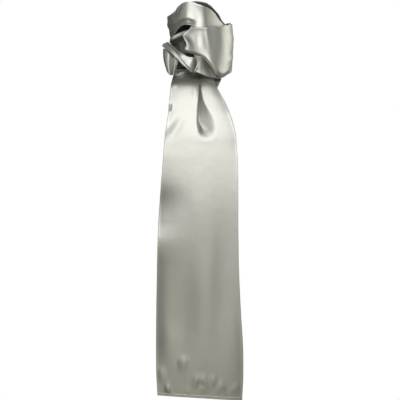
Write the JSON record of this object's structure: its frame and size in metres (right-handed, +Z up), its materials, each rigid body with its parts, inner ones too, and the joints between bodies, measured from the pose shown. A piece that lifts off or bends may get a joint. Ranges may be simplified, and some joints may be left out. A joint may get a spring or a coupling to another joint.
{
  "type": "worn satin evening stole",
  "caption": "Plain silver-sage satin stole as worn: wound round an open neck, knotted at the front with a rolled fold and a small ear, and a long tail with a narrow turned hem.",
  "frame": {"origin": "middle of the neck opening, level with the upper part of the knot", "axes": "+Z up along the wearer's neck, +X to the viewer's right, -Y out of the front of the knot"},
  "size_m": [0.1827, 0.1725, 0.8485],
  "materials": {
    "satin": "satin"
  },
  "bodies": {
    "root": {"neck_wrap_upper_front": "satin", "neck_wrap_upper_back": "satin", "neck_wrap_lower_front": "satin", "neck_wrap_lower_back": "satin", "neck_wrap_lower_left": "satin", "knot_band": "satin", "knot_roll": "satin", "knot_ear": "satin", "tail": "satin", "tail_hem": "satin", "under_end": "satin"}
  },
  "joints": []
}
